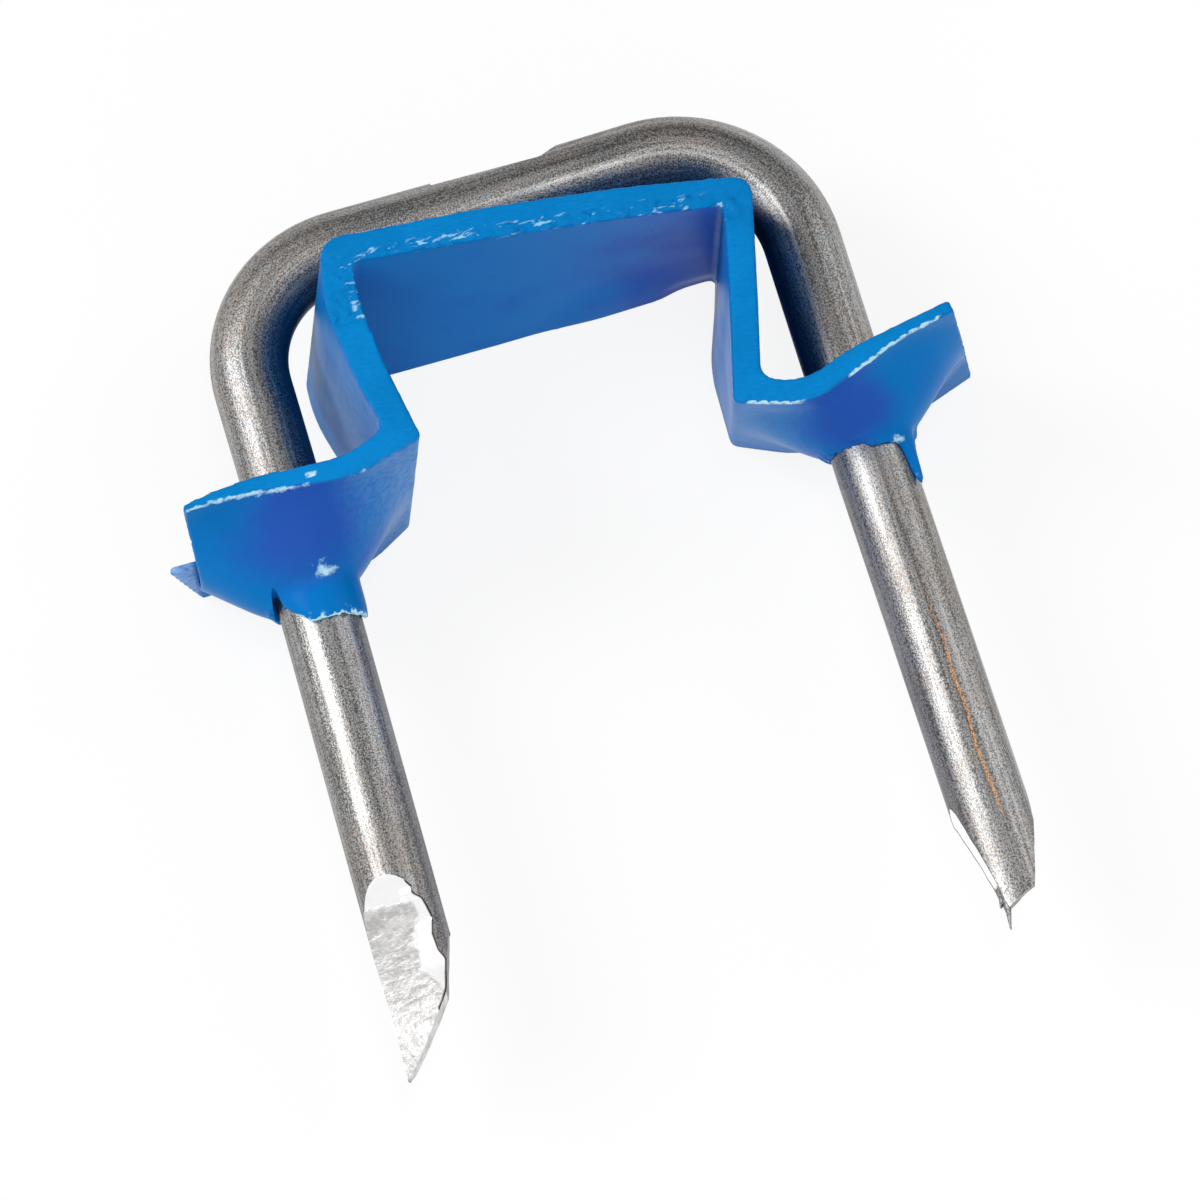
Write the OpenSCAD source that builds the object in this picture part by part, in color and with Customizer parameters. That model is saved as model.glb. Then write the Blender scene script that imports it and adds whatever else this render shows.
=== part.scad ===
// Insulated cable staple: a bent steel wire staple whose legs pierce a folded plastic saddle.
// It lies on the saddle's rear edge: X runs along the crown, +Y from the points to the crown, +Z up.
// The origin is on the resting plane, under the middle of the overall box.

/* [Wire] */
// Diameter of the steel wire
wire_d = 2.3; // [1.6:0.05:3]
// Clear width between the legs
inner_w = 14.3; // [13.4:0.1:18]
// Overall length from the top of the crown to the points
overall_len = 26; // [22:0.1:34]
// Bend radius of the left shoulder, at the middle of the wire
left_shoulder_r = 3.5; // [2.4:0.1:4]
// Bend radius of the right shoulder, at the middle of the wire
right_shoulder_r = 3.8; // [2.4:0.1:4]
// Outward splay of each leg below the saddle, in degrees
leg_splay = 0.9; // [0.7:0.1:2]

/* [Crown press mark] */
// Length of the flat that the forming tool leaves on the crown
mark_len = 3.3; // [1:0.1:6]
// Depth of that flat
mark_depth = 0.13; // [0.05:0.01:0.4]
// Turn of that flat about the crown, from its top towards the front, in degrees
mark_turn = 17; // [0:1:40]
// Slope of the run-out at the right end of the flat, in degrees
mark_slope = 18; // [10:1:60]

/* [Points] */
// Length of the hollow sheared face on each point
shear_len = 5.6; // [3:0.1:8]
// Radius of the hollow that the shear leaves
shear_r = 8; // [5:0.5:20]
// Thickness left at the end of the sheared face
point_t = 0.12; // [0.05:0.01:0.4]
// Angle of the left point's inner bevel to the leg
left_inner_bevel = 37; // [15:1:45]
// Width of the left point's edge
left_point_w = 0.15; // [0.1:0.05:0.6]
// Angle of the right point's inner bevel to the leg
right_inner_bevel = 8; // [6:1:30]
// Angle of the right point's outer bevel to the leg
right_outer_bevel = 17; // [5:1:30]
// Width of the right point's edge
right_point_w = 0.9; // [0.2:0.05:1.3]
// Offset of the right point's edge from the middle of its leg, towards the other leg
right_point_shift = 0.17; // [0:0.01:0.4]
// Slant of the right point's edge across the leg, in degrees
right_point_slant = 25; // [5:1:40]

/* [Saddle strip] */
// Width of the saddle over its drawn-out rear corners
saddle_w = 24.3; // [23.4:0.1:28]
// Width of the saddle over both flange ends at its front edge
flange_w = 22.7; // [21.6:0.1:23.2]
// Depth of the strip, along the cable
saddle_depth = 8; // [6:0.1:12]
// Thickness of the top wall and the left wall
strip_t = 0.95; // [0.7:0.05:1.2]
// Thickness of the right wall
right_wall_t = 0.82; // [0.6:0.02:1.2]
// Thickness of a flange at its outer end
flange_end_t = 0.3; // [0.2:0.05:0.6]
// Thickness of a flange where its leg passes
flange_t = 0.65; // [0.5:0.05:1]
// Clearance of the strip around each leg
grip_gap = 0.03; // [0.02:0.01:0.1]
// Gap between the crown and the middle of the top wall
crown_gap = 0.5; // [0.45:0.05:1.5]
// Rise of the top wall's middle over its ends
top_bow = 0.17; // [0.05:0.01:0.4]
// Inward lean of the left wall, in degrees
left_lean = 11; // [4:0.5:14]

/* [Front edge of the strip] */
// Width of the channel under its top wall
front_channel_w = 10.7; // [9:0.1:11]
// Height of the channel in its middle
front_channel_h = 6; // [4.5:0.1:7]
// Roll of the channel, down to the right, in degrees
front_roll = 7.6; // [0:0.2:9]
// Offset of the channel to the right of the staple's middle
front_shift = 0.72; // [0:0.04:0.8]
// Inward lean of the right wall, in degrees
front_right_lean = 6; // [4:0.5:14]
// Extra height of the right wall over the channel, which the left wall lacks
front_skew = 0.13; // [0:0.01:0.3]
// Outward bow of the left wall
front_left_bow = 0.32; // [0.05:0.01:0.5]
// Outward bow of the right wall
front_right_bow = 0.05; // [0.02:0.01:0.3]
// Sag of each flange below its end of the channel
front_sag = 0.58; // [0.2:0.02:1]
// Rise of the left flange from its sag to its leg
front_left_lift = 0.28; // [0.1:0.02:0.6]
// Rise of the right flange from its sag to its leg
front_right_lift = 0.64; // [0.1:0.02:1]
// Rise of the left flange from its leg to its end
front_left_rise = -0.06; // [-0.4:0.02:0.8]
// Rise of the right flange from its leg to its end
front_right_rise = 0.78; // [0:0.02:1.4]

/* [Rear edge of the strip] */
// Width of the channel under its top wall
rear_channel_w = 11.4; // [9:0.1:11.6]
// Height of the channel in its middle
rear_channel_h = 5.05; // [4.5:0.05:7]
// Roll of the channel, down to the right, in degrees
rear_roll = 1; // [0:0.2:8]
// Offset of the channel to the right of the staple's middle
rear_shift = 0.08; // [0:0.04:0.4]
// Inward lean of the right wall, in degrees
rear_right_lean = 12; // [4:0.5:14]
// Extra height of the right wall over the channel, which the left wall lacks
rear_skew = 0.05; // [0:0.01:0.3]
// Outward bow of the left wall
rear_left_bow = 0.16; // [0.05:0.01:0.5]
// Inward dent of the right wall
rear_right_dent = 0.35; // [0.05:0.01:0.6]
// Sag of each flange below its end of the channel
rear_sag = 0.75; // [0.2:0.01:1.2]
// Fall of each flange from its sag to its leg
rear_fall = 0.12; // [0.05:0.01:0.4]
// Rise of the left flange from its leg to its end
rear_left_rise = 0.36; // [0:0.02:0.8]
// Rise of the right flange from its leg to its end
rear_right_rise = 0.8; // [0:0.02:1.4]

/* [Pierced flanges] */
// How far the left leg drew its flange down into a funnel
left_draw = 2.7; // [1:0.1:3.2]
// How far the right leg drew its flange down into a funnel
right_draw = 1.9; // [1:0.1:3]
// Reach of a funnel from the middle of its leg
draw_reach = 4.2; // [3:0.1:4.6]
// Length of the torn lip under the left funnel
left_lip_h = 1; // [0.4:0.1:2]
// Length of the torn lip under the right funnel
right_lip_h = 0.6; // [0.4:0.1:2]
// Wall of a lip at its rim
lip_t = 0.3; // [0.15:0.05:0.6]
// Slant of the torn rim, in degrees
lip_slant = 20; // [0:1:35]
// Distance of each flange's sag from the staple's middle
sag_x = 6.65; // [6.4:0.05:7]
// Reach of the drawn-out left rear corner over the flange
tail_reach = 1.4; // [0.8:0.1:2]
// Rise of that corner
tail_rise = 0.5; // [0:0.05:0.8]

/* [Corner radii] */
// Radius on the outside of the top corners
top_outer_r = 0.6; // [0.3:0.05:0.8]
// Radius on the outside of the channel's mouth
mouth_outer_r = 0.5; // [0.3:0.05:0.9]
// Radius in the channel's inner corners and on its mouth
inner_r = 0.25; // [0.1:0.05:0.4]
// Radius of the strip's shallow bends
bend_r = 2; // [1:0.1:3]

/* [Hidden] */
$fn = 64;

// Depth slices of the twisted strip, steps of each rounded fold and cuts of each flange span
slices = 14;
fold_steps = 3;
flange_cuts = 2;
// Least length and largest share of a wall that a fold's rounding takes up
fold_reach = 0.15;
fold_share = 0.45;
// Overlap where the straight and splayed lengths of a leg join, and the step that keeps their walls apart
leg_overlap = 0.3;
leg_step = 0.01;

wire_r = wire_d / 2;
leg_x = inner_w / 2 + wire_r;
crown_y = overall_len / 2 - wire_r;
wire_z = saddle_depth / 2;

// Level of the top wall's ends, on the strip's middle line and below the crown's
top_y = -wire_r - crown_gap - strip_t / 2 - top_bow;

// What changes along the strip's depth, in one order for both of its edges
front_edge = [
    front_channel_w, front_channel_h, front_roll, front_shift, front_right_lean, front_skew,
    front_left_bow, front_right_bow, front_sag, front_left_lift, front_right_lift,
    front_left_rise, front_right_rise, flange_w / 2
];
rear_edge = [
    rear_channel_w, rear_channel_h, rear_roll, rear_shift, rear_right_lean, rear_skew,
    rear_left_bow, -rear_right_dent, rear_sag, -rear_fall, -rear_fall,
    rear_left_rise, rear_right_rise, saddle_w / 2
];

// Strip joints in order from the left flange's end to the right one's, on the strip's middle line
function strip_joints(edge) =
    let (
        channel_w = edge[0],
        channel_h = edge[1],
        along = [cos(edge[2]), -sin(edge[2])],
        down = [-sin(edge[2]), -cos(edge[2])],
        top = [edge[3], top_y],
        left_top = top - along * (channel_w + strip_t) / 2,
        right_top = top + along * (channel_w + strip_t) / 2,
        left_mouth = left_top + (down + along * tan(left_lean)) * (channel_h - edge[5]),
        right_mouth = right_top + (down - along * tan(edge[4])) * (channel_h + edge[5]),
        left_leg_y = left_mouth.y - edge[8] + edge[9],
        right_leg_y = right_mouth.y - edge[8] + edge[10]
    )
    [
        [-flange_w / 2, left_leg_y + edge[11]],
        [-leg_x, left_leg_y],
        [-sag_x, left_mouth.y - edge[8]],
        left_mouth,
        (left_mouth + left_top) / 2 - along * edge[6],
        left_top,
        top - down * top_bow,
        right_top,
        (right_mouth + right_top) / 2 + along * edge[7],
        right_mouth,
        [sag_x, right_mouth.y - edge[8]],
        [leg_x, right_leg_y],
        [edge[13], right_leg_y + edge[12]]
    ];

// Wall at each joint, and the radius of its fold on the crown's side and on the cable's side
joint_t = [
    flange_end_t, flange_t, flange_t, strip_t, strip_t, strip_t, strip_t,
    strip_t, right_wall_t, right_wall_t, flange_t, flange_t, flange_end_t
];
crown_side_r = [
    0, bend_r, bend_r, mouth_outer_r, bend_r, top_outer_r, bend_r,
    top_outer_r, bend_r, mouth_outer_r, bend_r, bend_r, 0
];
cable_side_r = [
    0, bend_r, bend_r, inner_r, bend_r, inner_r, bend_r,
    inner_r, bend_r, inner_r, bend_r, bend_r, 0
];
left_mouth_joint = 3;
right_mouth_joint = 9;

// Where each leg meets its flange, half way between the strip's edges
middle_joints = strip_joints((front_edge + rear_edge) / 2);
left_foot = [-leg_x, middle_joints[1].y, 0];
right_foot = [leg_x, middle_joints[11].y, 0];

// How far a leg draws the flange down at a distance from its foot
function drawn(distance, draw) =
    let (near = max(0, 1 - distance / draw_reach))
    draw * near ^ 2 * (3 - 2 * near);

// Level of a funnel's underside at its lip
lip_r = wire_r + lip_t;
left_lip_y = left_foot.y - flange_t / 2 - drawn(lip_r, left_draw);
right_lip_y = right_foot.y - flange_t / 2 - drawn(lip_r, right_draw);

// Legs splay from just under the longer lip
lip_clear = 0.2;
splay_y = min(left_lip_y - left_lip_h, right_lip_y - right_lip_h) - lip_clear;
point_drop = crown_y + overall_len / 2;
lower_len = (point_drop + splay_y) / cos(leg_splay);

// The hollow sheared face is an arc from the heel, on the wire's near side, to the point's edge.
// The edge is point_t thick and lies edge_x from the leg's middle, so its depth follows the wire's round.
function shear_centre(edge_x) =
    let (
        heel = [wire_r, shear_len],
        toe = [point_t - sqrt(wire_r ^ 2 - edge_x ^ 2), 0],
        chord = heel - toe,
        side = [chord.y, -chord.x] / norm(chord)
    )
    (heel + toe) / 2 + side * sqrt(shear_r ^ 2 - (chord * chord) / 4);

function unit(v) = v / norm(v);
function left_of(v) = [-v.y, v.x];

// One side of the strip: each joint moved half the wall across the fold, and straight up at the ends
function strip_side(joints, side) = [
    for (i = [0 : len(joints) - 1])
        let (
            last = len(joints) - 1,
            into = i > 0 ? left_of(unit(joints[i] - joints[i - 1])) : [0, 1],
            away = i < last ? left_of(unit(joints[i + 1] - joints[i])) : [0, 1],
            mid = i == 0 || i == last ? [0, 1] : unit(into + away),
            stretch = i == 0 || i == last ? 1 : 1 / (mid * into)
        )
        joints[i] + side * mid * stretch * joint_t[i] / 2
];

// A fold rounded by a curve that is tangent to both of its walls, where an arc of radius r would be
function rounded_fold(before, at, after, r) =
    let (
        a = before - at,
        b = after - at,
        half = acos(max(-1, min(1, unit(a) * unit(b)))) / 2,
        reach = min(max(r / tan(half), fold_reach), norm(a) * fold_share, norm(b) * fold_share),
        from = at + unit(a) * reach,
        to = at + unit(b) * reach
    )
    [
        for (k = [0 : fold_steps])
            let (t = k / fold_steps)
            from * (1 - t) ^ 2 + at * 2 * t * (1 - t) + to * t ^ 2
    ];

// A side with its folds rounded, and with cuts along the flanges for the funnels to follow
function rounded_side(points, radii) =
    let (
        last = len(points) - 1,
        folds = [
            for (i = [0 : last])
                i == 0 || i == last
                    ? [points[i]]
                    : rounded_fold(points[i - 1], points[i], points[i + 1], radii[i])
        ]
    )
    [
        for (i = [0 : last]) each concat(
            folds[i],
            i == last || (i >= left_mouth_joint && i < right_mouth_joint) ? [] : [
                for (c = [1 : flange_cuts])
                    let (
                        from = folds[i][len(folds[i]) - 1],
                        to = folds[i + 1][0]
                    )
                    from + (to - from) * c / (flange_cuts + 1)
            ]
        )
    ];

// The strip's closed outline between its rear edge at 0 and its front edge at 1, anticlockwise from the front
function strip_outline(share) =
    let (
        joints = strip_joints(rear_edge + (front_edge - rear_edge) * share),
        crown_side = rounded_side(strip_side(joints, 1), crown_side_r),
        cable_side = rounded_side(strip_side(joints, -1), cable_side_r),
        n = len(crown_side)
    )
    concat(cable_side, [for (i = [n - 1 : -1 : 0]) crown_side[i]]);

// A point of the folded strip after the legs drew their funnels and the left rear corner was pulled out
function formed(p) =
    let (
        funnel = drawn(norm(p - left_foot), left_draw) + drawn(norm(p - right_foot), right_draw),
        corner = [p.x + flange_w / 2, p.z + saddle_depth / 2],
        pull = max(0, 1 - norm(corner) / tail_reach)
    )
    p + [-pull * (saddle_w - flange_w) / 2, pull * tail_rise - funnel, 0];

// A solid lofted through the outlines of every slice, from the rear edge to the front edge
module twisted_strip() {
    outlines = [for (k = [0 : slices]) strip_outline(k / slices)];
    n = len(outlines[0]);
    points = [
        for (k = [0 : slices], p = outlines[k])
            formed([p.x, p.y, saddle_depth * (k / slices - 1 / 2)])
    ];
    walls = [
        for (k = [0 : slices - 1], i = [0 : n - 1])
            let (
                a = k * n + i,
                b = k * n + (i + 1) % n
            )
            each [[a, a + n, b], [b, a + n, b + n]]
    ];
    // Each end is a ladder of rungs between the strip's two sides
    rear = [
        for (i = [0 : n / 2 - 2])
            each [[i, i + 1, n - 2 - i], [i, n - 2 - i, n - 1 - i]]
    ];
    front = [for (face = rear) [for (i = [2, 1, 0]) slices * n + face[i]]];
    polyhedron(points, concat(rear, walls, front), convexity = 6);
}

// A straight length of wire that starts at the origin and runs towards -Y
module straight_wire(length, r = wire_r) {
    rotate([90, 0, 0]) cylinder(r = r, h = length);
}

// A bend of the wire about the Z axis, which starts at the given angle
module bent_wire(bend_r, start, angle, r = wire_r) {
    rotate([0, 0, start])
        rotate_extrude(angle = angle) translate([bend_r, 0]) circle(r = r);
}

// Carries children from the crown's frame to where the right leg splays, with -Y along the leg
module at_right_splay() {
    translate([leg_x, splay_y, 0]) rotate([0, 0, leg_splay]) children();
}

// The right leg from its shoulder to where it splays, just under the saddle
module right_upper_leg(shoulder_r, r = wire_r) {
    translate([leg_x, -shoulder_r, 0]) straight_wire(leg_overlap - splay_y - shoulder_r, r);
}

// The splayed length of the right leg, before it is sheared to a point
module right_lower_leg() {
    at_right_splay() straight_wire(lower_len, wire_r + leg_step);
}

// What the shear takes off the end of the right leg: the hollow face, the bevels and the slanted end.
// The hollow is towards +Z where near is 1 and towards -Z where it is -1.
module right_point_cut(near, inner_bevel, outer_bevel, point_w, edge_x, slant = 0) {
    block = 4 * wire_d;
    centre = shear_centre(edge_x);
    at_right_splay() translate([0, -lower_len, 0]) {
        translate([0, centre.y, near * centre.x])
            rotate([0, 90, 0]) cylinder(r = shear_r, h = block, center = true, $fn = 128);
        translate([edge_x - point_w / 2, 0, 0]) {
            rotate([0, 0, inner_bevel])
                translate([-block, -block / 2, -block / 2]) cube([block, 2 * block, block]);
            if (slant > 0) rotate([0, 0, slant])
                translate([0, -block, -block / 2]) cube([block, block, block]);
        }
        translate([edge_x + point_w / 2, 0, 0]) rotate([0, 0, -outer_bevel])
            translate([0, -block / 2, -block / 2]) cube([block, 2 * block, block]);
    }
}

// The right half of the staple, from the middle of the crown to the point
module right_half(shoulder_r) {
    crown_half = leg_x - shoulder_r;
    rotate([0, 0, 90]) straight_wire(crown_half);
    translate([crown_half, -shoulder_r, 0]) bent_wire(shoulder_r, 0, 90);
    right_upper_leg(shoulder_r);
    right_lower_leg();
}

// The flat that the forming tool presses into the crown, with a run-out at its right end
module press_mark() {
    rotate([mark_turn, 0, 0])
        translate([0, wire_r - mark_depth, -wire_d]) linear_extrude(2 * wire_d)
            polygon([
                [-mark_len / 2, 0],
                [mark_len / 2, 0],
                [mark_len / 2 + wire_r / tan(mark_slope), wire_r],
                [-mark_len / 2, wire_r]
            ]);
}

// The torn lip under the right funnel, with its rim cut on a slant
module right_lip(lip_y, lip_h, near) {
    root = flange_t / 2;
    block = 4 * lip_r;
    translate([leg_x, lip_y, 0]) difference() {
        rotate([90, 0, 0]) rotate_extrude()
            polygon([[0, -root], [lip_r, -root], [lip_r, 0], [lip_r - lip_t / 4, lip_h], [0, lip_h]]);
        translate([0, -lip_h, near * lip_r]) rotate([near * lip_slant, 0, 0])
            translate([-block / 2, -block, -block / 2]) cube(block);
    }
}

// The steel wire: crown, shoulders and legs in one bent piece, sheared to points
module wire_staple() {
    color("darkgray") translate([0, crown_y, wire_z]) difference() {
        union() {
            right_half(right_shoulder_r);
            mirror([1, 0, 0]) right_half(left_shoulder_r);
        }
        press_mark();
        right_point_cut(
            -1, right_inner_bevel, right_outer_bevel, right_point_w, -right_point_shift, right_point_slant
        );
        mirror([1, 0, 0])
            right_point_cut(1, left_inner_bevel, 0, left_point_w, wire_r - left_point_w / 2);
    }
}

// The plastic strip folded over the cable, drawn to a funnel and a torn lip around each leg
module insulating_saddle() {
    hole_r = wire_r + grip_gap;
    color("royalblue") translate([0, crown_y, wire_z]) difference() {
        union() {
            twisted_strip();
            right_lip(right_lip_y, right_lip_h, -1);
            mirror([1, 0, 0]) right_lip(left_lip_y, left_lip_h, 1);
        }
        right_upper_leg(right_shoulder_r, hole_r);
        mirror([1, 0, 0]) right_upper_leg(left_shoulder_r, hole_r);
    }
}

wire_staple();
insulating_saddle();
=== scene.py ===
"""Insulated cable staple: a bent steel wire driven through a folded blue plastic saddle."""

import math
from collections import Counter

import bmesh
import bpy
import numpy as np
from bpy.props import FloatProperty, FloatVectorProperty, PointerProperty
from bpy.types import Operator, Panel, PropertyGroup
from mathutils import Matrix, Vector, noise
from mathutils.kdtree import KDTree


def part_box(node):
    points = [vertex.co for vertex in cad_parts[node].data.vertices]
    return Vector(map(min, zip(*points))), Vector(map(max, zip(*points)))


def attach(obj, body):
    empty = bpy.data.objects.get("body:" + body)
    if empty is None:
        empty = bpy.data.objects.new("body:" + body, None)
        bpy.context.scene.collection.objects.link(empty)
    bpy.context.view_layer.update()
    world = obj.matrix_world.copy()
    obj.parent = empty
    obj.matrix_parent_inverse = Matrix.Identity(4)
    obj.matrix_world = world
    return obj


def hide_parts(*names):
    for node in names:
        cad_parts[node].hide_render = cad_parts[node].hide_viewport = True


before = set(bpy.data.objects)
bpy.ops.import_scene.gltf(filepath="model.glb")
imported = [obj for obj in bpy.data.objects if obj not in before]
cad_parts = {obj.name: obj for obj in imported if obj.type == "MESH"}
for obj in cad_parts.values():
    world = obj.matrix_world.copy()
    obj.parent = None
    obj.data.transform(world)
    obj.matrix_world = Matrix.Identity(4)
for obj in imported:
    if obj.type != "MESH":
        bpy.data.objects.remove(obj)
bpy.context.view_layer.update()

bl_info = {
    "name": "Insulated cable staple",
    "version": (1, 0, 0),
    "blender": (4, 5, 0),
    "location": "View3D > Sidebar > Staple",
    "description": "Models a wire cable staple with its folded plastic saddle, and lights it",
    "category": "Add Mesh",
}

MM = 0.001
SADDLE_LOW, SADDLE_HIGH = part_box("insulating_saddle")
MID_Z = (SADDLE_LOW.z + SADDLE_HIGH.z) / 2
SADDLE_DEPTH = SADDLE_HIGH.z - SADDLE_LOW.z
TOP_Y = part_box("wire_staple")[1].y

WIRE_CREASE = 32
SADDLE_CREASE = 55
STRIP_FACE = 0.3 * MM
REAR_Z = MID_Z - 4 * MM

WHITE = (1.0, 1.0, 1.0)
WARM = (1.0, 0.95, 0.91)
COOL = (0.91, 0.96, 1.0)


def length(name, description, size):
    """A size property, kept in metres, with its default in millimetres"""
    return FloatProperty(
        name=name, description=description, default=size * MM, unit="LENGTH", subtype="DISTANCE",
        precision=5,
    )


def turn(name, description, degrees):
    """An angle property"""
    return FloatProperty(
        name=name, description=description, default=math.radians(degrees), unit="ROTATION",
        subtype="ANGLE",
    )


def colour(name, description, default):
    """A colour property, linear"""
    return FloatVectorProperty(
        name=name, description=description, default=default, subtype="COLOR", size=3, min=0, max=1,
    )


class WireSettings(PropertyGroup):
    """Sizes of the steel wire"""

    diameter: length("Wire diameter", "Diameter of the round wire", 2.3)
    leg_pitch: length("Leg pitch", "Distance between the middles of the legs", 16.6)
    left_bend: length("Left bend", "Bend radius of the left shoulder, mid wire", 3.48)
    right_bend: length("Right bend", "Bend radius of the right shoulder, mid wire", 3.85)
    bow: turn("Crown bow", "Rise of the crown from its press mark to the right shoulder", 1.45)
    splay: turn("Leg splay", "Outward splay of the legs below the saddle", 0.9)
    splay_drop: length("Splay start", "Drop from the crown to where the legs splay", 11.15)
    mark_length: length("Press mark length", "Length of the flat pressed into the crown", 3.3)
    mark_depth: length("Press mark depth", "Depth of that flat at its right end", 0.22)
    right_excess: length("Right leg excess", "Length of the right leg past the left", 0.36)
    mark_turn: turn("Press mark turn", "Turn of that flat from the crown's top to its front", 17)
    reach: length("Leg reach", "Drop from the crown's middle line to the points", 24.85)
    shear_length: length("Shear length", "Length of the hollow face on each point", 5.7)
    shear_radius: length("Shear radius", "Radius of the hollow", 8)


class SaddleSettings(PropertyGroup):
    """Sizes of the plastic saddle"""

    top_outer: length("Top corner radius", "Outer radius of the channel's top folds", 0.55)
    mouth_outer: length("Mouth corner radius", "Fillet where a flange leaves the wall", 0.38)
    inner: length("Inner corner radius", "Radius inside the folds", 0.18)
    grip: length("Grip clearance", "Clearance of the lips around the wire", 0.015)
    grain: length("Modelling grain", "Size of the faces of the torn surface", 0.097)


class FinishSettings(PropertyGroup):
    """Colours of the two materials"""

    steel: colour("Steel", "Drawn and galvanised wire", (0.29, 0.286, 0.282))
    # Painted shade and painted blue reflection of the saddle, on the wire's inner side
    steel_painted_shade: colour("Steel flanks", "Blued skin on the wire's inner side", (0.045, 0.06, 0.12))
    copper: colour("Copper streak", "Copper from the drawing die", (0.95, 0.52, 0.27))
    sheared: colour("Sheared steel", "Bright metal of the sheared points", (0.86, 0.85, 0.84))
    # Painted shade along the edges and folds of the sheared faces
    shear_rim_shade: colour("Shear rim", "Dark edge of the sheared faces", (0.03, 0.018, 0.016))
    blue: colour("Blue plastic", "Moulded skin of the saddle", (0.002, 0.165, 0.5))
    # Painted shade: violet blue for the shaded skin
    blue_painted_shade: colour("Deep blue", "Violet blue of the drawn and folded skin", (0.022, 0.08, 0.43))
    blue_cut: colour("Cut plastic", "Sawn faces of the strip", (0.002, 0.18, 0.48))
    # Wear with painted sheen, at the mouths, the left wall and the tail
    blue_worn_and_sheen: colour("Worn plastic", "Scuffed skin at the mouths and the wall", (0.2, 0.38, 0.72))
    # Whitened burrs and tears, also the colour of painted highlights and glints
    blue_burr_and_glint: colour("Stressed plastic", "Whitened burrs and tears", (0.5, 0.78, 0.92))


class StageSettings(PropertyGroup):
    """Camera and studio"""

    azimuth: turn("Camera azimuth", "Turn of the camera about the vertical", -11.5)
    elevation: turn("Camera elevation", "Height angle of the camera", 70.8)
    roll: turn("Camera roll", "Turn of the picture", 4.894)
    distance: length("Camera distance", "Distance to the middle of the picture", 250)
    view_width: length("View width", "Width of the picture at the object", 34.578)
    aim_x: length("Aim X", "Middle of the picture, across", -0.436)
    aim_drop: length("Aim drop", "Middle of the picture, below the crown", 12.611)
    floor: colour("Floor", "Pale floor", (0.9, 0.9, 0.9))


SETTINGS = (
    (WireSettings, "staple_wire"),
    (SaddleSettings, "staple_saddle"),
    (FinishSettings, "staple_finish"),
    (StageSettings, "staple_stage"),
)


# Editing helpers


def clear_selection():
    """Go to object mode with nothing selected"""
    if bpy.context.mode != "OBJECT":
        bpy.ops.object.mode_set(mode="OBJECT")
    bpy.ops.object.select_all(action="DESELECT")


def make_active(obj):
    """Select one object alone"""
    clear_selection()
    obj.select_set(True)
    bpy.context.view_layer.objects.active = obj


def edit(obj):
    """Open one object in edit mode"""
    make_active(obj)
    bpy.ops.object.mode_set(mode="EDIT")


def leave_edit():
    """Close edit mode"""
    bpy.ops.object.mode_set(mode="OBJECT")


def primitive(add, name, scale=(1, 1, 1), **values):
    """Add a primitive by its operator, name it, scale it and put its place into its mesh"""
    clear_selection()
    add(**values)
    obj = bpy.context.object
    obj.name = name
    obj.data.name = name
    obj.scale = scale
    bpy.ops.object.transform_apply(location=True, rotation=True, scale=True)
    return obj


def pick(obj, kind, test):
    """Select, in edit mode, the vertices, edges or faces that pass a test"""
    bpy.ops.mesh.select_mode(type=kind)
    bpy.ops.mesh.select_all(action="DESELECT")
    mesh = bmesh.from_edit_mesh(obj.data)
    parts = {"VERT": mesh.verts, "EDGE": mesh.edges, "FACE": mesh.faces}[kind]
    chosen = [part for part in parts if test(part)]
    if not chosen:
        raise RuntimeError(f"nothing to select on {obj.name}")
    for part in chosen:
        part.select_set(True)
    mesh.select_flush_mode()
    bmesh.update_edit_mesh(obj.data)


def near(place, point, reach=0.02 * MM):
    """Whether two places agree"""
    return (place - point).length < reach


def apply_modifier(obj, kind, **values):
    """Add a modifier with its values and apply it"""
    make_active(obj)
    modifier = obj.modifiers.new(kind.title(), kind)
    for key, value in values.items():
        setattr(modifier, key, value)
    bpy.ops.object.modifier_apply(modifier=modifier.name)


def cut_with(obj, cutter, operation="DIFFERENCE"):
    """Boolean a cutter into an object, hand over its finish and remove it"""
    apply_modifier(
        obj, "BOOLEAN", object=cutter, operation=operation, solver="MANIFOLD",
        material_mode="TRANSFER",
    )
    bpy.data.objects.remove(cutter)


def extrude_by(step):
    """Extrude the selected end of a chain by a step"""
    bpy.ops.mesh.extrude_vertices_move(TRANSFORM_OT_translate={"value": step})


def draw_chain(name, points):
    """Extrude one vertex from point to point"""
    chain = primitive(bpy.ops.mesh.primitive_plane_add, name, size=MM, location=points[0])
    edit(chain)
    bpy.ops.mesh.select_mode(type="VERT")
    bpy.ops.mesh.select_all(action="SELECT")
    bpy.ops.mesh.merge(type="CENTER")
    for here, there in zip(points, points[1:]):
        extrude_by(Vector(there) - Vector(here))
    return chain


def tidy_normals(obj):
    """Merge doubles and turn all faces outwards"""
    edit(obj)
    bpy.ops.mesh.select_all(action="SELECT")
    bpy.ops.mesh.remove_doubles(threshold=0.001 * MM)
    bpy.ops.mesh.normals_make_consistent(inside=False)
    leave_edit()


def corners_of(face):
    """The numbers of a face's corners, in order of size"""
    return tuple(sorted(v.index for v in face.verts))


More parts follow.
